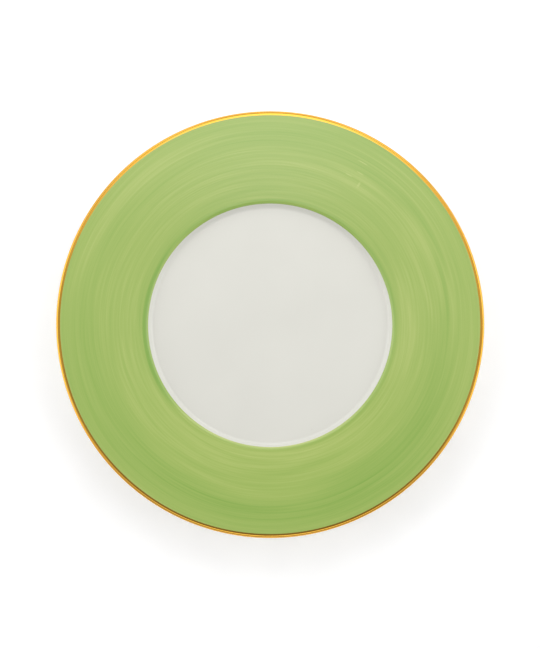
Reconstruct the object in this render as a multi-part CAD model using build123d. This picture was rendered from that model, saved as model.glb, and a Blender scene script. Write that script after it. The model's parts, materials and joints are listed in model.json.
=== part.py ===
from build123d import *
import os
from math import asin, atan2, cos, degrees, radians, sin, tan

# Porcelain dinner plate with a wide coloured rim and a gold line at the lip, in millimetres.
#
# The plate is round about Z and stands on its foot ring at z = 0, so the origin is the middle of
# the foot. It has no moving piece. Its five pieces are what the works adds one after another:
# the fired body, the glaze on the face and the outside, the glaze in the recess inside the foot,
# the brushed enamel on the rim, and the gold on the lip. Each is a disc or ring turned about Z.
#
# All five come from one drawing, the section of the body. The glaze is what lies between that
# section and the same section grown by the glaze's thickness, and the colours lie between the
# glaze and a section grown a little more. In the drawing x is the radius and y is the height.

# ---- Sizes of the whole plate ----
overall_diameter = 270.0  # over the gold on the lip
overall_height = 22.0  # from the table to the top of the gold
edge_thickness = 2.6  # of the full-round lip, with its glaze

# ---- The coats, one over the other ----
glaze_thickness = 0.25
glaze_line_height = 0.9  # the glaze is wiped off the foot up to here
enamel_thickness = 0.12
enamel_lap = 0.75  # how far the enamel runs over the verge into the well
gold_thickness = 0.08
gold_width = 2.5  # of the gold line, seen from above
gold_turn_under = 1.3  # how far the gold comes back under the lip

# ---- The body: rim and well ----
rim_crown_radius = 900.0  # the rim's face is very slightly domed across its width
rim_root_thickness = 3.7  # of the rim, straight down from the verge
verge_diameter = 155.9  # where the lines of the rim and of the well's wall would meet
verge_radius = 3.3  # the rounding from rim to wall
well_depth = 4.0  # from the verge down to the edge of the floor
wall_angle = 55.0  # of the well's wall above level
wall_thickness = 3.8
cove_radius = 3.0  # the rounding from wall to floor
floor_thickness = 4.0  # at the edge of the floor
floor_dish = 0.5  # how far the middle of the floor lies below its edge
underside_cove_radius = 5.0  # from the wall's underside to the rim's
underside_bend_radius = 4.0  # from the floor's underside to the wall's

# ---- The body: foot ring ----
foot_height = 3.4  # depth of the recess inside the foot, at its edge
foot_width = 2.6  # of the foot at the table, before its corners are rounded
foot_inset = 5.2  # from the floor's edge in to the outside of the foot
foot_outer_draft = 12.0
foot_inner_draft = 32.0
foot_edge_radius = 0.5
foot_outer_fillet = 1.6
foot_inner_fillet = 2.6
recess_dome = 0.3  # how far the middle of the recess lies above its edge

# ---- Places that follow from the sizes, all on the body's section ----
coats_at_lip = glaze_thickness + gold_thickness
body_radius = overall_diameter / 2 - coats_at_lip
body_top = overall_height - coats_at_lip
lip_radius = edge_thickness / 2 - glaze_thickness
lip_centre = Vector(body_radius - lip_radius, body_top - lip_radius)
wall_slope = tan(radians(wall_angle))
floor_height = foot_height + floor_thickness
verge = Vector(verge_diameter / 2, floor_height + well_depth)
floor_edge = Vector(verge.X - well_depth / wall_slope, floor_height)
foot_outside = floor_edge.X - foot_inset
foot_inside = foot_outside - foot_width
enamel_start = verge.X - enamel_lap
gold_start = overall_diameter / 2 - gold_width
gold_end = overall_diameter / 2 - gold_turn_under
margin = 10.0  # by which cutting rectangles reach past the section


def rim_arc_centre():
    """Centre of the arc of the rim's face, from the verge to a smooth join with the lip."""
    to_verge = rim_crown_radius
    to_lip = rim_crown_radius - lip_radius
    run = lip_centre - verge
    along = (to_verge**2 - to_lip**2 + run.length**2) / (2 * run.length)
    below = (to_verge**2 - along**2) ** 0.5
    direction = run.normalized()
    return verge + direction * along + Vector(direction.Y, -direction.X) * below


def underside_tangent(start):
    """Where a line from start touches the lip's round from below."""
    run = lip_centre - start
    rise = atan2(run.Y, run.X) - asin(lip_radius / run.length)
    return lip_centre + Vector(sin(rise), -cos(rise)) * lip_radius


def crossing(point_a, slope_a, point_b, slope_b):
    """Where two lines cross, each given by a point and its slope."""
    rise = point_b.Y - point_a.Y + slope_a * point_a.X - slope_b * point_b.X
    x = rise / (slope_a - slope_b)
    return Vector(x, point_a.Y + slope_a * (x - point_a.X))


def mirrored(point):
    """The same point on the other side of the axis."""
    return Vector(-point.X, point.Y)


def round_corner(section, corner, radius):
    """The section with its corners nearest to the point and to its mirror image rounded."""
    for place in (corner, mirrored(corner)):
        vertex = section.vertices().sort_by_distance(place)[0]
        section = fillet(vertex, radius)
    return section


def body_section():
    """The body cut through the axis, both sides, from lip to lip."""
    lip_top = lip_centre + (lip_centre - rim_arc_centre()).normalized() * lip_radius
    lip_side = lip_centre + Vector(lip_radius, 0)
    rim_root = verge - Vector(0, rim_root_thickness)
    lip_bottom = underside_tangent(rim_root)
    underside_slope = (lip_bottom.Y - rim_root.Y) / (lip_bottom.X - rim_root.X)

    into_wall = Vector(sin(radians(wall_angle)), -cos(radians(wall_angle)))
    wall_back = floor_edge + into_wall * wall_thickness
    under_verge = crossing(rim_root, underside_slope, wall_back, wall_slope)
    under_wall = crossing(wall_back, wall_slope, Vector(0, foot_height), 0)

    outer_spread = foot_height * tan(radians(foot_outer_draft))
    inner_spread = foot_height * tan(radians(foot_inner_draft))
    foot_root = Vector(foot_outside + outer_spread, foot_height)
    foot_corner_out = Vector(foot_outside, 0)
    foot_corner_in = Vector(foot_inside, 0)
    recess_edge = Vector(foot_inside - inner_spread, foot_height)

    floor_middle = Vector(0, floor_height - floor_dish)
    recess_middle = Vector(0, foot_height + recess_dome)
    floor_face = ThreePointArc(mirrored(floor_edge), floor_middle, floor_edge)
    recess_face = ThreePointArc(recess_edge, recess_middle, mirrored(recess_edge))
    one_side = [
        Line(floor_edge, verge),
        RadiusArc(verge, lip_top, rim_crown_radius),
        ThreePointArc(lip_top, lip_side, lip_bottom),
        Polyline(lip_bottom, under_verge, under_wall, foot_root),
        Polyline(foot_root, foot_corner_out, foot_corner_in, recess_edge),
    ]
    other_side = [mirror(line, about=Plane.YZ) for line in one_side]
    section = make_face(Curve() + [floor_face, recess_face, *one_side, *other_side])

    section = round_corner(section, floor_edge, cove_radius)
    section = round_corner(section, verge, verge_radius)
    section = round_corner(section, under_verge, underside_cove_radius)
    section = round_corner(section, under_wall, underside_bend_radius)
    section = round_corner(section, foot_root, foot_outer_fillet)
    section = round_corner(section, foot_corner_out, foot_edge_radius)
    section = round_corner(section, foot_corner_in, foot_edge_radius)
    section = round_corner(section, recess_edge, foot_inner_fillet)
    return section


def coat(inside, thickness_from, thickness_to):
    """What lies between the section grown by one thickness and grown by another."""
    outer = offset(inside, amount=thickness_to, kind=Kind.ARC)
    inner = inside
    if thickness_from > 0:
        inner = offset(inside, amount=thickness_from, kind=Kind.ARC)
    return outer - inner


def window(start, end, bottom=-margin):
    """A rectangle between two radii, from the given height to above the plate, to cut with."""
    top = overall_height + margin
    return Pos((start + end) / 2, (bottom + top) / 2) * Rectangle(end - start, top - bottom)


def beside_rim(side):
    """A large square with an edge along the middle of the rim: above it for 1, below it for -1."""
    rim_middle = verge - Vector(0, rim_root_thickness / 2)
    run = lip_centre - rim_middle
    rim_angle = degrees(atan2(run.Y, run.X))
    reach = overall_diameter
    square = Pos(0, side * reach / 2) * Rectangle(2 * reach, reach)
    return Pos(lip_centre) * Rot(Z=rim_angle) * square


def turned(section):
    """A piece turned about the plate's axis from its section."""
    return revolve(Plane.XZ * section, axis=Axis.Z, revolution_arc=360)


beyond_lip = overall_diameter / 2 + margin
body_drawing = body_section()
glaze_drawing = coat(body_drawing, 0, glaze_thickness)
enamel_drawing = coat(body_drawing, glaze_thickness, glaze_thickness + enamel_thickness)
gold_drawing = coat(body_drawing, glaze_thickness, glaze_thickness + gold_thickness)


def make_porcelain_body():
    """The white body, with its bare foot."""
    return turned(body_drawing & window(0, beyond_lip))


def glaze_sections():
    """The two coats of glaze above the wiped foot: outside it, and in the recess inside it."""
    above_foot = window(0, beyond_lip, bottom=glaze_line_height)
    return (glaze_drawing & above_foot).faces().sort_by(SortBy.AREA)


def make_outer_glaze():
    """Glaze over the face, round the lip and down the outside to the foot."""
    return turned(glaze_sections()[-1])


def make_recess_glaze():
    """Glaze on the underside, inside the foot."""
    return turned(glaze_sections()[0])


def make_green_enamel():
    """The coloured band on the rim's face, from just inside the well up to the gold."""
    on_both_sides = enamel_drawing & window(enamel_start, gold_start)
    return turned(on_both_sides.faces().sort_by(Axis.Y)[-1])


def make_gold_line():
    """The gold round the lip, from its inner edge on the face to just under the edge."""
    on_face = window(gold_start, beyond_lip) & beside_rim(1)
    under_lip = window(gold_end, beyond_lip) & beside_rim(-1)
    return turned(gold_drawing & (on_face + under_lip))


pieces = {
    "porcelain_body": make_porcelain_body(),
    "outer_glaze": make_outer_glaze(),
    "recess_glaze": make_recess_glaze(),
    "green_enamel_band": make_green_enamel(),
    "gold_rim_line": make_gold_line(),
}

os.makedirs("parts", exist_ok=True)
for name, piece in pieces.items():
    export_step(piece, f"parts/{name}.step")
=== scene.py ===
# %% [markdown]
# # A porcelain dinner plate with a brushed green rim and a gold line
#
# The real plate is one piece of fired porcelain with three coats on it: a clear glaze, a green
# enamel that is banded on with a brush while the plate turns on a wheel, and a line of gold round
# the lip. This lesson makes it the same way. The body is a section spun round the axis, and each
# coat is a copy of the surface that it lies on, given a thickness.
#
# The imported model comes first. It fixes every size, so the lip, the foot and the edges of the
# colours are read from its pieces and not chosen again.

# %% The frame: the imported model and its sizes
import json
from math import ceil, cos, pi, radians, sin, tan

import bmesh
import bpy
from mathutils import Matrix, Vector, noise

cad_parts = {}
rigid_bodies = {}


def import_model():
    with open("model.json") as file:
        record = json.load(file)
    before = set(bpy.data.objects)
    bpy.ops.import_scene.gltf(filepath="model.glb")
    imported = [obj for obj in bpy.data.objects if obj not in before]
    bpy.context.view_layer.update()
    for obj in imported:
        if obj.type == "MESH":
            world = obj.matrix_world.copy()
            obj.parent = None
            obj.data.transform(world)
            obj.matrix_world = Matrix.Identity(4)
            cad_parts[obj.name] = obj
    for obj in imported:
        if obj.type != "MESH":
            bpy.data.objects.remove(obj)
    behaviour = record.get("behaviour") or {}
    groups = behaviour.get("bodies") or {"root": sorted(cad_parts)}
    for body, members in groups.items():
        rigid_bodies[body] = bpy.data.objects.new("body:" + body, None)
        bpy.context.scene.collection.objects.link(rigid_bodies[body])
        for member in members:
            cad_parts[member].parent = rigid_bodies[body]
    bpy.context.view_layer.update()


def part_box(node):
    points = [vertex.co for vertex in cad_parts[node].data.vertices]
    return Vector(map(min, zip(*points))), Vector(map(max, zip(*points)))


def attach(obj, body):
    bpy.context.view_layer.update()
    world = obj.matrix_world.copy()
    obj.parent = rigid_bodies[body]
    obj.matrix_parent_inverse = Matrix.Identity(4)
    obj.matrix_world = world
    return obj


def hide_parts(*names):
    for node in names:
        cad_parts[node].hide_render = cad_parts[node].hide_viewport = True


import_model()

MM = 0.001
body_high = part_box("porcelain_body")[1]
glaze_low, glaze_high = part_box("outer_glaze")
gold_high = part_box("gold_rim_line")[1]
enamel_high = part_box("green_enamel_band")[1]

plate_radius = gold_high.x
gold_starts = enamel_high.x
glaze_ends = glaze_low.z
glaze_thickness = glaze_high.x - body_high.x
gold_thickness = gold_high.x - glaze_high.x
print("radius", round(plate_radius / MM, 2), "glaze", round(glaze_thickness / MM, 3), "mm")

# %% [markdown]
# ## Drawing the section
#
# A plate is turned from its section, the shape that a cut through the axis shows. A potter's
# template holds the same line. It is written as a short list of corners, each with the radius it
# is rounded to, because that is how such a drawing is dimensioned: the long, barely curved
# stretches of the floor and the rim are corners too, with very large radii.

# %% The corners of the body, in millimetres: distance from the axis, height, rounding
lip_out = body_high.x / MM
body_corners = [
    (0, 6.9, 0),  # middle of the floor
    (37.6, 6.9, 5300),  # the floor is dished by half a millimetre
    (75.15, 7.4, 3.0),  # floor to wall
    (77.95, 11.4, 3.3),  # wall to rim, the verge
    (105.55, 17.4, 850),  # the rim is slightly domed
    (lip_out, 21.84, 1.05),  # the lip is fully rounded
    (lip_out, 19.77, 1.05),
    (80.36, 8.21, 5.0),  # underside of the rim to back of the wall
    (76.99, 3.4, 4.0),  # back of the wall to underside of the floor
    (70.67, 3.4, 1.6),  # into the foot ring
    (69.95, 0, 0.5),
    (67.35, 0, 0.5),
    (65.22, 3.4, 2.6),  # up into the recess inside the foot
    (32.6, 3.7, 6900),  # the recess rises slightly to its middle
    (0, 3.7, 0),
]
WALL_SLOPE = radians(55)
RIM_SLOPE = radians(11.3)
enamel_starts = 77.2 * MM  # on the glaze
enamel_ring = enamel_starts + glaze_thickness * sin(WALL_SLOPE)  # on the body, under the glaze
gold_turns_under = 133.7 * MM
foot_middle = 68.65 * MM
mid_body_height = 5 * MM  # between the floor and the recess
lip_radius = 1.3 * MM  # over the gold
lip_middle_out = plate_radius - lip_radius
lip_middle_height = gold_high.z - lip_radius
FACING_UP = 0.2  # least upward part of the normal of a face on top of the rim


# %% [markdown]
# Rounding a corner means walking back from it along both lines by the same reach, and joining the
# two points by an arc. A step along the arc turns by eight degrees at most, so that small
# roundings look round, and is five millimetres long at most, so that large ones do.

# %% A helper that rounds the corners of an outline
LARGEST_TURN = radians(8)
LONGEST_STEP = 5.0


def rounded(corners):
    """The points of an open outline whose inner corners are rounded by true arcs."""
    points = [Vector(corners[0][:2])]
    for before, here, after in zip(corners, corners[1:], corners[2:]):
        corner = Vector(here[:2])
        back = (Vector(before[:2]) - corner).normalized()
        onward = (Vector(after[:2]) - corner).normalized()
        turn = pi - back.angle(onward)
        centre = corner + (back + onward).normalized() * (here[2] / cos(turn / 2))
        spoke = corner + back * (here[2] * tan(turn / 2)) - centre
        direction = 1 if onward.cross(back) > 0 else -1
        steps = ceil(max(turn / LARGEST_TURN, here[2] * turn / LONGEST_STEP))
        for step in range(steps + 1):
            angle = direction * turn * step / steps
            points.append(centre + Matrix.Rotation(angle, 2) @ spoke)
    points.append(Vector(corners[-1][:2]))
    return [point * MM for point in points]


outline = rounded(body_corners)
print("the body's outline has", len(outline), "points")

# %% [markdown]
# ## Turning the body
#
# In edit mode one vertex is extruded from point to point along the outline. Bisecting the line
# then puts a point exactly where each coat will end. Spinning it through a full turn makes the
# body, and merging doubles closes the seam and the two poles. The spin may leave the surface
# inside out, so its normals are recalculated last.

# %% Helpers for choosing and turning
STEPS_ROUND = 360


def select(piece, kind, test):
    """Puts piece in edit mode with only the verts, edges or faces selected that pass the test."""
    bpy.ops.object.select_all(action="DESELECT")
    bpy.context.view_layer.objects.active = piece
    piece.select_set(True)
    bpy.ops.object.mode_set(mode="EDIT")
    bpy.context.tool_settings.mesh_select_mode = (kind == "verts", kind == "edges", kind == "faces")
    bpy.ops.mesh.select_all(action="DESELECT")
    mesh = bmesh.from_edit_mesh(piece.data)
    for element in getattr(mesh, kind):
        element.select = test(element)
    mesh.select_flush_mode()
    bmesh.update_edit_mesh(piece.data)


def draw_outline(name, points):
    """A new piece that is only a line in the XZ plane, left in edit mode."""
    bpy.ops.object.select_all(action="DESELECT")
    bpy.ops.mesh.primitive_plane_add(size=MM)
    piece = bpy.context.object
    piece.name = name
    piece.data.name = name
    bpy.ops.object.mode_set(mode="EDIT")
    bpy.ops.mesh.merge(type="CENTER")
    bpy.ops.transform.translate(value=(points[0].x, 0, points[0].y))
    for here, there in zip(points, points[1:]):
        step = (there.x - here.x, 0, there.y - here.y)
        bpy.ops.mesh.extrude_region_move(TRANSFORM_OT_translate={"value": step})
    return piece


def cut_outline(place, direction):
    """Adds a point wherever the line in edit mode crosses a plane."""
    bpy.ops.mesh.select_all(action="SELECT")
    bpy.ops.mesh.bisect(plane_co=place, plane_no=direction)


def turn_outline():
    """Spins the line in edit mode into a closed surface and ends edit mode."""
    bpy.ops.mesh.select_all(action="SELECT")
    bpy.ops.mesh.spin(steps=STEPS_ROUND, angle=2 * pi, center=(0, 0, 0), axis=(0, 0, 1))
    bpy.ops.mesh.select_all(action="SELECT")
    bpy.ops.mesh.remove_doubles(threshold=0.001 * MM)
    bpy.ops.mesh.normals_make_consistent(inside=False)
    bpy.ops.object.mode_set(mode="OBJECT")


def distance_out(place):
    """How far a place is from the plate's axis."""
    return place.xy.length


# %% The body
body = draw_outline("fired_porcelain_body", outline)
cut_outline((enamel_ring, 0, 0), (1, 0, 0))
cut_outline((gold_starts, 0, 0), (1, 0, 0))
cut_outline((gold_turns_under, 0, 0), (1, 0, 0))
cut_outline((0, 0, glaze_ends), (0, 0, 1))
turn_outline()
print("body:", len(body.data.polygons), "faces")

# %% [markdown]
# A band painted by hand is never a perfect circle: the wrist drifts by about a tenth of a
# millimetre. The two rings where the enamel and the gold begin are slid along the surface by a
# slow noise round the plate. It is done on the body, so every coat that copies it agrees.

# %% The drift of the painter's hand
DRIFT = 0.12 * MM
DRIFTS_ROUND = 2.5  # more makes more swings in one turn
ENAMEL_ABOVE = 9 * MM  # the enamel's ring lies above this, the plate's back below it
GOLD_ABOVE = 20.5 * MM


def let_drift(piece, ring, above, slope, seed):
    """Slides the ring of vertices at one distance from the axis up and down the given slope."""
    for vertex in piece.data.vertices:
        place = vertex.co
        if abs(distance_out(place) - ring) < 0.01 * MM and place.z > above:
            outward = Vector((place.x, place.y, 0)).normalized()
            amount = DRIFT * noise.noise(outward * DRIFTS_ROUND + Vector((seed, 0, 0)))
            vertex.co += (outward * cos(slope) + Vector((0, 0, sin(slope)))) * amount


let_drift(body, enamel_ring, ENAMEL_ABOVE, WALL_SLOPE, seed=3)
let_drift(body, gold_starts, GOLD_ABOVE, RIM_SLOPE, seed=8)

# %% [markdown]
# ## The coats
#
# Each coat is a copy of some faces of the surface under it, separated into its own piece and given
# its thickness outwards with a Solidify modifier. Even thickness stays off: it corrects for sharp
# bends, which this surface hasn't, and goes wrong on the thin triangles round a pole. The glaze's
# free edge at the foot is then bevelled, because glaze and enamel draw themselves round as they melt.


# %% A helper that copies faces into a new piece and thickens them
def coat_from(surface, name, thickness, test):
    """A new closed piece: the faces of surface that pass the test, thickened outwards."""
    others = set(bpy.data.objects)
    select(surface, "faces", test)
    bpy.ops.mesh.duplicate()
    bpy.ops.mesh.separate(type="SELECTED")
    bpy.ops.object.mode_set(mode="OBJECT")
    coat = (set(bpy.data.objects) - others).pop()
    coat.name = name
    coat.data.name = name
    bpy.ops.object.select_all(action="DESELECT")
    bpy.context.view_layer.objects.active = coat
    coat.select_set(True)
    wall = coat.modifiers.new("thickness", "SOLIDIFY")
    wall.thickness = thickness
    wall.offset = 1
    bpy.ops.object.modifier_apply(modifier=wall.name)
    print(name, "has", len(coat.data.polygons), "faces")
    return coat


def round_edge(coat, width, segments, test):
    """Bevels the edges of a coat that pass the test."""
    select(coat, "edges", test)
    bpy.ops.mesh.bevel(offset=width, segments=segments, affect="EDGES")
    bpy.ops.object.mode_set(mode="OBJECT")


def runs_round(edge):
    """True for an edge that lies along a circle round the axis."""
    start, end = (vertex.co for vertex in edge.verts)
    outward = abs(distance_out(start) - distance_out(end))
    return outward < 0.02 * MM and abs(start.z - end.z) < 0.02 * MM


# %% The glaze outside the foot and the glaze in the recess
def in_recess(place):
    """True for places inside the foot ring, on the underside."""
    return distance_out(place) < foot_middle and place.z < mid_body_height


def above_glaze_line(face):
    return face.calc_center_median().z > glaze_ends


face_glaze = coat_from(
    body, "clear_glaze_face_and_back", glaze_thickness,
    lambda face: above_glaze_line(face) and not in_recess(face.calc_center_median()),
)
recess_glaze = coat_from(
    body, "clear_glaze_in_foot_recess", glaze_thickness,
    lambda face: above_glaze_line(face) and in_recess(face.calc_center_median()),
)

# %% [markdown]
# The glaze is sponged off the foot before firing, or the plate would stick to the kiln shelf. It
# ends there in a rounded bead.

# %% The bead at the foot
BEAD = 0.2 * MM  # across the rounded edge of the glaze
BEAD_STEPS = 4


def at_glaze_line(edge, glazed_side):
    """True for the outer of the two rings where a glaze ends at the foot."""
    place = (edge.verts[0].co + edge.verts[1].co) / 2
    at_end = place.z < glaze_ends + 0.15 * MM
    off_body = abs(distance_out(place) - foot_at_line[glazed_side]) > 0.1 * MM
    return runs_round(edge) and at_end and off_body


line_radii = [distance_out(v.co) for v in body.data.vertices if abs(v.co.z - glaze_ends) < 0.001 * MM]
foot_at_line = {"outside": max(line_radii), "recess": min(line_radii)}
round_edge(face_glaze, BEAD, BEAD_STEPS, lambda edge: at_glaze_line(edge, "outside"))
round_edge(recess_glaze, BEAD, BEAD_STEPS, lambda edge: at_glaze_line(edge, "recess"))
print("glaze line on the foot, radii in mm:", {k: round(r / MM, 2) for k, r in foot_at_line.items()})

# %% [markdown]
# ## The green enamel
#
# The painter holds a loaded flat brush on the turning rim, and moves it slowly from the well to
# the edge. Each turn leaves ridges where the hairs parted, and they run almost round the plate.
# The band is copied from the glaze's upper faces, cut into rings half a millimetre apart, and its
# top is raised and lowered by a noise that is stretched along the turn.

# %% The enamel band with its brush ridges
enamel_thickness = 0.12 * MM
RINGS_BETWEEN = 9  # cuts between two rings of the body, which are five millimetres apart
RIDGE_HEIGHT = 0.012 * MM
RIDGE_SPACING = 1.6 * MM
RIDGE_LENGTH = 0.45  # of a ridge along the turn, in radians
EDGE_FADE = 1.5 * MM  # the ridges die away near the edges of the band


def above_rim_middle(place):
    """True for places above the middle of the rim's thickness."""
    return place.z > lip_middle_height - tan(RIM_SLOPE) * (lip_middle_out - distance_out(place))


def on_rim_face(face):
    """True for the glaze's upper faces from the edge of the well to the start of the gold."""
    place = face.calc_center_median()
    on_top = face.normal.z > FACING_UP and above_rim_middle(place)
    return on_top and enamel_starts - 0.02 * MM < distance_out(place) < gold_starts


enamel = coat_from(face_glaze, "brushed_green_enamel_rim", enamel_thickness, on_rim_face)


def crosses_top(edge):
    """True for an edge on the enamel's top that points out from the axis."""
    return not runs_round(edge) and all(face.normal.z > FACING_UP for face in edge.link_faces)


select(enamel, "edges", crosses_top)
bpy.ops.mesh.subdivide(number_cuts=RINGS_BETWEEN)
bpy.ops.object.mode_set(mode="OBJECT")
select(enamel, "faces", lambda face: face.normal.z > FACING_UP)
bpy.ops.object.mode_set(mode="OBJECT")
for vertex in enamel.data.vertices:
    if vertex.select:
        out = distance_out(vertex.co)
        along = Vector((vertex.co.x, vertex.co.y, 0)).normalized() / RIDGE_LENGTH
        ridge = noise.noise(along + Vector((0, 0, out / RIDGE_SPACING)))
        from_edge = min(out - enamel_starts, gold_starts - out)
        vertex.co.z += RIDGE_HEIGHT * ridge * min(1, max(0, from_edge / EDGE_FADE))
print("enamel:", len(enamel.data.polygons), "faces")

# %% [markdown]
# ## The gold
#
# Gold is painted last, over the enamel's edge and round the lip, and fired once more. It is
# copied from the glaze in the same way.

# %% The gold line
def on_lip(face):
    """True for the glaze's outer faces round the lip, from the gold's edge to its turn under."""
    place = face.calc_center_median()
    outward = Vector((place.x, place.y, 0)).normalized()
    lip_middle = outward * lip_middle_out + Vector((0, 0, lip_middle_height))
    starts = gold_starts if above_rim_middle(place) else gold_turns_under
    return distance_out(place) > starts and (place - lip_middle).dot(face.normal) > 0


gold = coat_from(face_glaze, "gold_lip_line", gold_thickness, on_lip)
print("gold:", len(gold.data.polygons), "faces")

# %% [markdown]
# ## Riding on the frame
#
# The plate has no joints, so it has one body, named root. Each piece stands for one node of the
# imported model, which is then hidden.

# %% Which piece stands for which node
for piece, node, slot in (
    (body, "porcelain_body", "bare_porcelain"),
    (face_glaze, "outer_glaze", "clear_glaze"),
    (recess_glaze, "recess_glaze", "clear_glaze"),
    (enamel, "green_enamel_band", "green_enamel"),
    (gold, "gold_rim_line", "burnished_gold"),
):
    bpy.ops.object.select_all(action="DESELECT")
    bpy.context.view_layer.objects.active = piece
    piece.select_set(True)
    bpy.ops.object.shade_smooth_by_angle(angle=radians(50))
    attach(piece, "root")
    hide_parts(node)
    print(piece.name, "replaces", node)

# %% [markdown]
# ## Helpers for the finishes
#
# Colours are written as sRGB hex values, as a maker would match them to a chart, and turned to
# the linear values that Blender mixes. One helper adds a node, sets it and links its inputs.

# %% Colour and node helpers
def linear(hex_colour):
    """A hex sRGB colour as linear red, green, blue and alpha."""
    channels = [int(hex_colour[i:i + 2], 16) / 255 for i in (0, 2, 4)]
    return [c / 12.92 if c <= 0.04045 else ((c + 0.055) / 1.055) ** 2.4 for c in channels] + [1]


def add(tree, kind, inputs=None, **settings):
    """Adds a node to a tree with its settings. An input is a value, or an output to link."""
    node = tree.nodes.new(kind)
    for name, value in settings.items():
        setattr(node, name, value)
    for socket, value in (inputs or {}).items():
        if isinstance(value, bpy.types.NodeSocket):
            tree.links.new(value, node.inputs[socket])
        else:
            node.inputs[socket].default_value = value
    return node


def new_finish(name, **shader_values):
    """A material's node tree and its shader, with values set on the shader's own sockets."""
    material = bpy.data.materials.new(name)
    material.use_nodes = True
    shader = material.node_tree.nodes["Principled BSDF"]
    for socket, value in shader_values.items():
        shader.inputs[socket.replace("_", " ")].default_value = value
    return material, material.node_tree, shader


def ramp_between(tree, factor, *stops):
    """A colour ramp's output, from stops of position and hex colour."""
    ramp = add(tree, "ShaderNodeValToRGB", {"Fac": factor})
    while len(ramp.color_ramp.elements) < len(stops):
        ramp.color_ramp.elements.new(0.5)
    for element, (position, colour) in zip(ramp.color_ramp.elements, stops):
        element.position = position
        element.color = linear(colour)
    return ramp.outputs["Color"]


def give(piece, material):
    """The piece wears this material and no other."""
    piece.data.materials.clear()
    piece.data.materials.append(material)


# %% [markdown]
# Brushing and banding follow the turn of the wheel, so their patterns need the distance from the
# axis and the direction, not X and Y. A noise read at (direction, distance) closes on itself all
# round the plate, because the direction is a point on a circle. A larger circle makes shorter
# streaks, and more noise to the millimetre makes narrower ones.

# %% A coordinate that runs round the plate
def wheel_place(tree):
    """The direction from the axis, and the distance from it in metres."""
    place = add(tree, "ShaderNodeTexCoord").outputs["Object"]
    flat = add(tree, "ShaderNodeVectorMath", {0: place, 1: (1, 1, 0)}, operation="MULTIPLY").outputs[0]
    direction = add(tree, "ShaderNodeVectorMath", {0: flat}, operation="NORMALIZE").outputs[0]
    distance = add(tree, "ShaderNodeVectorMath", {0: flat}, operation="LENGTH").outputs["Value"]
    return direction, distance


def streaks(tree, direction, distance, length, width, seed, detail=2.0):
    """A noise of streaks round the axis: length along the turn in radians, width in metres."""
    rounds = add(tree, "ShaderNodeVectorMath", {0: direction, "Scale": 1 / length}, operation="SCALE")
    across = add(tree, "ShaderNodeMath", {0: distance, 1: 1 / width, 2: seed}, operation="MULTIPLY_ADD")
    stack = add(tree, "ShaderNodeCombineXYZ", {"Z": across.outputs[0]})
    place = add(tree, "ShaderNodeVectorMath", {0: rounds.outputs[0], 1: stack.outputs[0]})
    inputs = {"Vector": place.outputs[0], "Scale": 1.0, "Detail": detail}
    return add(tree, "ShaderNodeTexNoise", inputs).outputs["Fac"]


# %% [markdown]
# ## Clear glaze over porcelain
#
# The glaze is a clear glass on a white body, fired together at about 1400 degrees. It gives a
# warm grey white with a sharp, colourless shine. A glaze is never quite flat: it has a soft
# waviness a few millimetres across, its tone drifts a little over the plate, and here and there
# a speck of iron from the clay has come through.

# %% The glaze
WAVE = 4 * MM  # across one soft wave of the glaze
TONE_PATCH = 45 * MM  # across one slow change of tone
SPECK_SPACING = 16 * MM
SPECK_SIZE = 0.014  # of the spacing


def clear_glaze(name, pooled, white):
    material, tree, shader = new_finish(name, Roughness=0.08, IOR=1.52)
    place = add(tree, "ShaderNodeTexCoord").outputs["Object"]
    patches = add(
        tree, "ShaderNodeTexNoise", {"Vector": place, "Scale": 1 / TONE_PATCH, "Detail": 2.0}
    )
    tone = ramp_between(tree, patches.outputs["Fac"], (0.3, pooled), (0.7, white))
    cells = add(
        tree, "ShaderNodeTexVoronoi", {"Vector": place, "Scale": 1 / SPECK_SPACING, "Randomness": 1.0}
    )
    speck = add(
        tree, "ShaderNodeMapRange",
        {"Value": cells.outputs["Distance"], "From Min": SPECK_SIZE, "From Max": SPECK_SIZE * 1.6,
         "To Min": 0.35, "To Max": 0.0},
    )
    base = add(
        tree, "ShaderNodeMix",
        {"Factor": speck.outputs["Result"], "A": tone, "B": linear("8F8168")}, data_type="RGBA",
    )
    waves = add(tree, "ShaderNodeTexNoise", {"Vector": place, "Scale": 1 / WAVE, "Detail": 1.0})
    relief = add(
        tree, "ShaderNodeBump",
        {"Height": waves.outputs["Fac"], "Strength": 0.25, "Distance": 0.02 * MM},
    )
    tree.links.new(base.outputs["Result"], shader.inputs["Base Color"])
    tree.links.new(relief.outputs["Normal"], shader.inputs["Normal"])
    return material


give(face_glaze, clear_glaze("clear_glaze_on_white_porcelain", "DDDCD4", "E0DFD7"))
give(recess_glaze, clear_glaze("clear_glaze_pooled_in_recess", "D8D8D1", "DEDDD5"))

# %% [markdown]
# ## Bare porcelain
#
# Where the glaze is wiped off, the fired body shows: dense, dry to the eye and a little warmer,
# with a fine grain. The grain of fired porcelain is a few hundredths of a millimetre, too fine
# to show, so it is drawn about ten times as coarse.

# %% The bare foot
GRAIN = 0.35 * MM


def bare_porcelain():
    material, tree, shader = new_finish("fired_bare_porcelain", Roughness=0.6, IOR=1.5)
    place = add(tree, "ShaderNodeTexCoord").outputs["Object"]
    grain = add(tree, "ShaderNodeTexNoise", {"Vector": place, "Scale": 1 / GRAIN, "Detail": 3.0})
    tone = ramp_between(tree, grain.outputs["Fac"], (0.35, "D5CFC2"), (0.65, "E6E1D6"))
    relief = add(
        tree, "ShaderNodeBump",
        {"Height": grain.outputs["Fac"], "Strength": 0.4, "Distance": 0.03 * MM},
    )
    tree.links.new(tone, shader.inputs["Base Color"])
    tree.links.new(relief.outputs["Normal"], shader.inputs["Normal"])
    return material


give(body, bare_porcelain())

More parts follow.
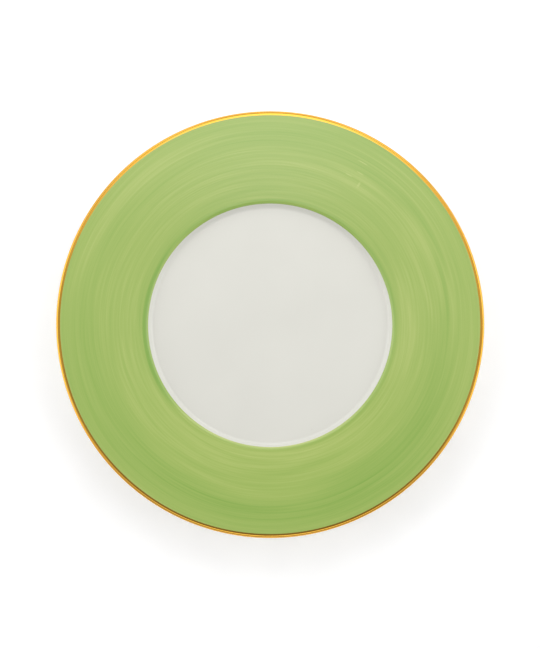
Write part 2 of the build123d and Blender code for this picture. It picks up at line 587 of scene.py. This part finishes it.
# %% [markdown]
# ## Brushed green enamel
#
# The enamel is a coloured glass ground in oil. Where the coat is thin the white glaze shows
# through and makes it lighter and yellower, where it is thick it is a deeper green. Three widths
# of streak are laid over each other: the broad passes of the brush, its ridges, and the marks of
# single hairs. A slow wobble bends them all a little off true circles.

# %% The streaks of the brush
WOBBLE = 3.0 * MM  # how far the streaks stray from circles
PASS_WIDTH = 9 * MM
RIDGE_WIDTH = 2.2 * MM
HAIR_WIDTH = 0.7 * MM


def weighed(tree, *parts):
    """The sum of outputs, each with its weight, taken about the middle value of a noise."""
    total = 0.0
    for output, weight in parts:
        centred = add(tree, "ShaderNodeMath", {0: output, 1: 0.5}, operation="SUBTRACT")
        part = add(
            tree, "ShaderNodeMath", {0: centred.outputs[0], 1: weight, 2: total},
            operation="MULTIPLY_ADD",
        )
        total = part.outputs[0]
    return total


# %% [markdown]
# On top of the streaks come single strokes and patches that stand out: thin pale brush lines and paler
# patches on the right, paler patches at the top left that are a painted sheen, and deeper broad patches
# along the front that are painted shade, darker towards the front, with thin deeper brush lines among
# them; others change the tone in broad patches. The line along the inner edge is where the enamel
# pooled, with painted shade over it, darkest on the left, and a painted highlight along its front. Each
# is a soft patch along an arc, given by its angle, its distance out, how far it reaches to each side
# along the arc and across it, and how much more or less colour it has.

# %% Single strokes, painted sheen and painted shade
# The broad paler patches at the top left are a painted sheen, and the broad deeper ones along the front
# are painted shade.
STROKES_SHEEN_AND_SHADE = [  # angle and reach along the arc in degrees; distance out and reach across in mm
    # angle, distance out, reach along, reach across, more colour
    (23, 111, 22, 5.0, -0.16),
    (19, 103, 20, 3.0, -0.14),
    (29, 117, 18, 3.0, 0.10),
    (12, 114, 14, 2.4, 0.10),
    (60, 110, 12, 3.5, -0.05),
    (57, 104, 9, 2.0, -0.06),
    (48, 121, 34, 0.9, -0.16),
    (44, 125, 30, 0.7, -0.14),
    (38, 116, 24, 0.7, -0.12),
    (135, 124, 70, 14, -0.06),
    (100, 108, 60, 12, -0.02),
    (-40, 112, 46, 14, 0.22),
    (-90, 122, 80, 16, 0.20),
    (-84, 117, 60, 0.8, 0.17),
    (-97, 121, 66, 0.6, 0.17),
    (-70, 125, 54, 0.6, 0.15),
    (-90, 84, 60, 8, -0.06),
    (-128, 96, 40, 8, -0.08),
    (-150, 114, 50, 8, 0.08),
    (150, 84, 60, 6, 0.08),
    (90, 122, 80, 18, 0.14),
    (180, 122, 50, 18, 0.16),
    (4, 89, 34, 9, -0.14),
    (-60, 88, 70, 9, -0.08),
    (-140, 88, 50, 8, -0.10),
    (8, 112, 18, 7, 0.08),
    (138, 124, 44, 9, -0.14),
]
# The first four are pools along the inner edge with painted shade over them, darkest on the left, and a
# painted highlight at the front; the last four are small pale marks.
EDGE_POOLS_SHADING_AND_MARKS = [  # the same, for pools along the inner edge and small marks, which no wobble moves
    (182, 79.3, 46, 2.4, 0.60),
    (66, 79.0, 125, 3.0, 0.28),
    (-50, 79.8, 50, 2.2, 0.12),
    (-90, 77.5, 64, 0.8, -0.34),
    (60.2, 118, 2.0, 0.6, -0.34),
    (59.3, 111.4, 1.5, 0.6, -0.28),
    (62.3, 107, 1.5, 0.6, -0.26),
    (57.7, 105, 0.5, 3.0, -0.24),
]


def stroke(tree, direction, distance, angle, out, length, width):
    """A soft patch of one along an arc round the axis, and zero elsewhere."""
    middle = (cos(radians(angle)), sin(radians(angle)), 0)
    facing = add(tree, "ShaderNodeVectorMath", {0: direction, 1: middle}, operation="DOT_PRODUCT")
    along = add(
        tree, "ShaderNodeMapRange",
        {"Value": facing.outputs["Value"], "From Min": cos(radians(length)), "From Max": 1.0},
        interpolation_type="SMOOTHSTEP",
    )
    offset = add(tree, "ShaderNodeMath", {0: distance, 1: out * MM}, operation="SUBTRACT")
    away = add(tree, "ShaderNodeMath", {0: offset.outputs[0]}, operation="ABSOLUTE")
    across = add(
        tree, "ShaderNodeMapRange",
        {"Value": away.outputs[0], "From Min": width * MM, "From Max": 0.0},
        interpolation_type="SMOOTHSTEP",
    )
    both = add(tree, "ShaderNodeMath", {0: along.outputs[0], 1: across.outputs[0]}, operation="MULTIPLY")
    return both.outputs[0]


# %% The green enamel
def green_enamel():
    material, tree, shader = new_finish("brushed_on_glaze_green_enamel", Roughness=0.18, IOR=1.54)
    direction, distance = wheel_place(tree)
    wander = streaks(tree, direction, distance, 1.1, 60 * MM, 5.0, detail=1.0)
    strayed = add(tree, "ShaderNodeMath", {0: wander, 1: WOBBLE, 2: distance}, operation="MULTIPLY_ADD")
    bent = strayed.outputs[0]
    passes = streaks(tree, direction, bent, 1.0, PASS_WIDTH, 11.0, detail=1.0)
    ridges = streaks(tree, direction, bent, 0.6, RIDGE_WIDTH, 23.0)
    hairs = streaks(tree, direction, bent, 0.4, HAIR_WIDTH, 37.0)
    depth_and_painted_shading = weighed(tree, (passes, 0.20), (ridges, 0.36), (hairs, 0.42))
    # Strokes and pools add painted sheen, painted shade and a painted highlight to the depth of colour,
    # as well as brush marks.
    for marks, measured in ((STROKES_SHEEN_AND_SHADE, bent), (EDGE_POOLS_SHADING_AND_MARKS, distance)):
        for angle, out, length, width, more in marks:
            patch = stroke(tree, direction, measured, angle, out, length, width)
            depth_and_painted_shading = add(
                tree, "ShaderNodeMath", {0: patch, 1: more, 2: depth_and_painted_shading}, operation="MULTIPLY_ADD"
            ).outputs[0]
    depth = add(tree, "ShaderNodeMath", {0: depth_and_painted_shading, 1: 0.5}).outputs[0]
    tone = ramp_between(tree, depth, (0.0, "C2CD7E"), (0.5, "A3BA63"), (1.0, "87AC50"))
    relief = add(
        tree, "ShaderNodeBump", {"Height": depth_and_painted_shading, "Strength": 0.25, "Distance": 0.02 * MM}
    )
    tree.links.new(tone, shader.inputs["Base Color"])
    tree.links.new(relief.outputs["Normal"], shader.inputs["Normal"])
    return material


give(enamel, green_enamel())

# %% [markdown]
# ## Burnished gold
#
# The gold is a film of metal, brushed on along the turn and rubbed bright after firing. It is a
# true metal, so its colour is its reflection, with faint brush lines along the turn.

# %% The gold
def burnished_gold():
    material, tree, shader = new_finish("burnished_fired_gold", Metallic=1.0)
    direction, distance = wheel_place(tree)
    lines = streaks(tree, direction, distance, 0.25, 0.4 * MM, 2.0)
    tone = ramp_between(tree, lines, (0.35, "E1A940"), (0.65, "EBB44E"))
    shine = add(
        tree, "ShaderNodeMapRange",
        {"Value": lines, "From Min": 0.3, "From Max": 0.7, "To Min": 0.08, "To Max": 0.14},
    )
    relief = add(tree, "ShaderNodeBump", {"Height": lines, "Strength": 0.3, "Distance": 0.01 * MM})
    tree.links.new(tone, shader.inputs["Base Color"])
    tree.links.new(shine.outputs["Result"], shader.inputs["Roughness"])
    tree.links.new(relief.outputs["Normal"], shader.inputs["Normal"])
    return material


give(gold, burnished_gold())

# %% [markdown]
# ## The floor
#
# The plate stands on a matt white sheet with a little light of its own, like a light table, so
# the shadow under the rim stays faint.

# %% The floor
FLOOR_SIZE = 6.0
FLOOR_GLOW = 0.17


def glowing_sheet():
    material, tree, shader = new_finish(
        "matt_white_sheet", Roughness=0.9, Specular_IOR_Level=0.1,
        Emission_Color=linear("FFFFFF"), Emission_Strength=FLOOR_GLOW,
    )
    place = add(tree, "ShaderNodeTexCoord").outputs["Object"]
    fibres = add(tree, "ShaderNodeTexNoise", {"Vector": place, "Scale": 40.0, "Detail": 3.0})
    tone = ramp_between(tree, fibres.outputs["Fac"], (0.3, "F9F9F9"), (0.7, "FDFDFD"))
    tree.links.new(tone, shader.inputs["Base Color"])
    return material


bpy.ops.object.select_all(action="DESELECT")
bpy.ops.mesh.primitive_plane_add(size=FLOOR_SIZE)
floor = bpy.context.object
floor.name = "pale_floor"
give(floor, glowing_sheet())

# %% [markdown]
# ## The lights
#
# Three soft panels stand behind the plate, all turned towards it. Because they are near, the back
# of the plate is brighter than the front. Each is given by its brightness, which doesn't change
# with its size: the power that Blender asks for is pi times brightness times area.

# %% The panels
scene = bpy.context.scene
scene.view_settings.view_transform = "Standard"

PANELS = [  # name, place, width, height, brightness
    ("panel_back", (0, 0.5, 0.45), 0.9, 0.45, 0.81),
    ("panel_back_right", (0.4, 0.35, 0.45), 0.6, 0.45, 0.66),
    ("panel_back_left", (-0.4, 0.35, 0.45), 0.6, 0.45, 0.68),
]
for name, place, width, height, brightness in PANELS:
    bpy.ops.object.light_add(type="AREA", location=place)
    panel = bpy.context.object
    panel.name = name
    panel.rotation_euler = (-Vector(place)).to_track_quat("-Z", "Y").to_euler()
    panel.data.shape = "RECTANGLE"
    panel.data.size = width
    panel.data.size_y = height
    panel.data.energy = pi * brightness * width * height
    panel.visible_camera = False

# %% [markdown]
# The rest of the room is nearly dark, with soft glows: broad ones low down on all four sides and
# halfway up on the left and right, and narrow ones overhead that the rim and the gold reflect.
# Each glow is brightest along its own direction and falls away as a power of the cosine.

# %% The surround
SURROUND = 0.005
GLOWS = [  # direction, sharpness, brightness
    ((0, -0.2, 0.98), 40, 2.14),
    ((-0.3, 0, 0.95), 30, 0.20),
    ((0, 1, 0.05), 5, 1.44),
    ((0, -1, 0.05), 5, 1.16),
    ((1, 0, 0.05), 5, 1.55),
    ((-1, 0, 0.05), 5, 1.80),
    ((0, 0.35, 0.94), 30, 0.10),
    ((0.75, 0, 0.66), 6, 1.13),
    ((-0.75, 0, 0.66), 6, 0.92),
]
world = bpy.data.worlds.new("soft_surround")
scene.world = world
world.use_nodes = True
tree = world.node_tree
looking = add(tree, "ShaderNodeTexCoord").outputs["Generated"]
brightness = SURROUND
for axis, sharpness, strength in GLOWS:
    towards = Vector(axis).normalized()
    facing = add(tree, "ShaderNodeVectorMath", {0: looking, 1: towards}, operation="DOT_PRODUCT")
    ahead = add(tree, "ShaderNodeMath", {0: facing.outputs["Value"], 1: 0.0}, operation="MAXIMUM")
    glow = add(tree, "ShaderNodeMath", {0: ahead.outputs[0], 1: sharpness}, operation="POWER")
    brightness = add(
        tree, "ShaderNodeMath", {0: glow.outputs[0], 1: strength, 2: brightness},
        operation="MULTIPLY_ADD",
    ).outputs[0]
sky = tree.nodes["Background"]
sky.inputs["Color"].default_value = linear("FFFFFF")
tree.links.new(brightness, sky.inputs["Strength"])

# %% [markdown]
# ## The camera
#
# It looks almost straight down, from far away through a long lens, so the plate is nearly a
# perfect circle. The distance is chosen and the lens follows from it: the plate fills four
# fifths of the view's width.

# %% The camera
ELEVATION = radians(85.5)
DISTANCE = 3.0
HEIGHT_TO_WIDTH = 1.2  # of the view
PLATE_SHARE = 0.7931  # of the view's width that the plate covers
SENSOR = 36.0  # mm, along the view's longer side

aim = Vector((-0.12 * MM, -0.07 * MM, lip_middle_height))
away = Vector((0, -cos(ELEVATION), sin(ELEVATION)))
camera = bpy.data.objects.new("camera", bpy.data.cameras.new("camera"))
scene.collection.objects.link(camera)
camera.location = aim + away * DISTANCE
camera.rotation_euler = (-away).to_track_quat("-Z", "Y").to_euler()
view_width = 2 * plate_radius / PLATE_SHARE
camera.data.sensor_width = SENSOR
camera.data.lens = SENSOR * DISTANCE / (view_width * HEIGHT_TO_WIDTH)
scene.camera = camera
print("lens", round(camera.data.lens), "mm")
